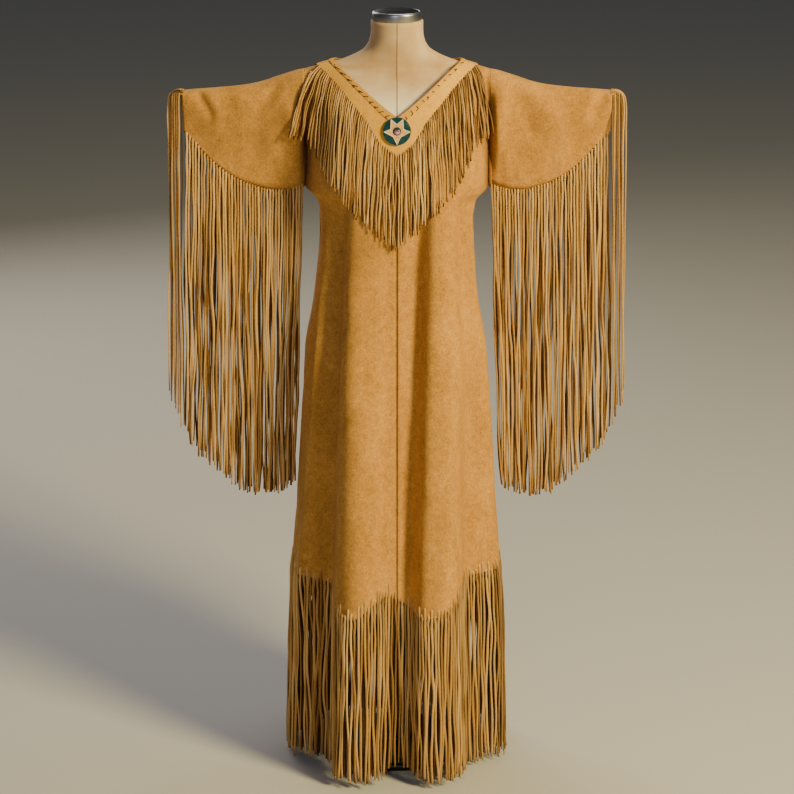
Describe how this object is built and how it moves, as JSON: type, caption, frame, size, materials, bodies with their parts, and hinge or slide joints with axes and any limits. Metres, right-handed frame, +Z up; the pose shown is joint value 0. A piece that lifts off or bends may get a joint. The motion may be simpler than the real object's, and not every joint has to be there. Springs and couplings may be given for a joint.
{
  "type": "fringed suede dress on a limbless dress form",
  "caption": "Long golden tan suede dress with a V yoke, held-out sleeves, long fringe and a star rosette, worn by a limbless dress form on a round base.",
  "frame": {"origin": "on the floor, under the middle of the round base", "axes": "+Z up, -Y the way the dress faces, +X the wearer's left; the sleeves reach out along X"},
  "size_m": [0.8946, 0.4275, 1.5008],
  "materials": {
    "suede": "napped matt suede",
    "yoke_suede": "napped matt suede, slightly lighter",
    "fringe_suede": "cut suede strands with darker edges",
    "teal_beads": "glossy opaque seed beads",
    "cream_beads": "glossy opaque seed beads",
    "stone": "polished cabochon",
    "form_cloth": "smooth cream jersey",
    "chrome": "polished",
    "black_plastic": "satin moulded",
    "black_iron": "satin black enamel"
  },
  "bodies": {
    "root": {"front_left": "suede", "front_right": "suede", "back": "suede", "sleeve_left": "suede", "sleeve_right": "suede", "yoke_front": "yoke_suede", "yoke_back": "yoke_suede", "neck_binding": "yoke_suede", "yoke_fringe_front": "fringe_suede", "yoke_fringe_back": "fringe_suede", "sleeve_fringe_left": "fringe_suede", "sleeve_fringe_right": "fringe_suede", "cuff_fringe_left": "fringe_suede", "cuff_fringe_right": "fringe_suede", "hem_fringe_front_left": "fringe_suede", "hem_fringe_front_right": "fringe_suede", "hem_fringe_back": "fringe_suede", "rosette_disc": "teal_beads", "rosette_star": "cream_beads", "rosette_stone": "stone", "form_torso": "form_cloth", "form_cap_ring": "chrome", "form_cap_top": "black_plastic", "form_pole": "chrome", "form_base": "black_iron"}
  },
  "joints": []
}
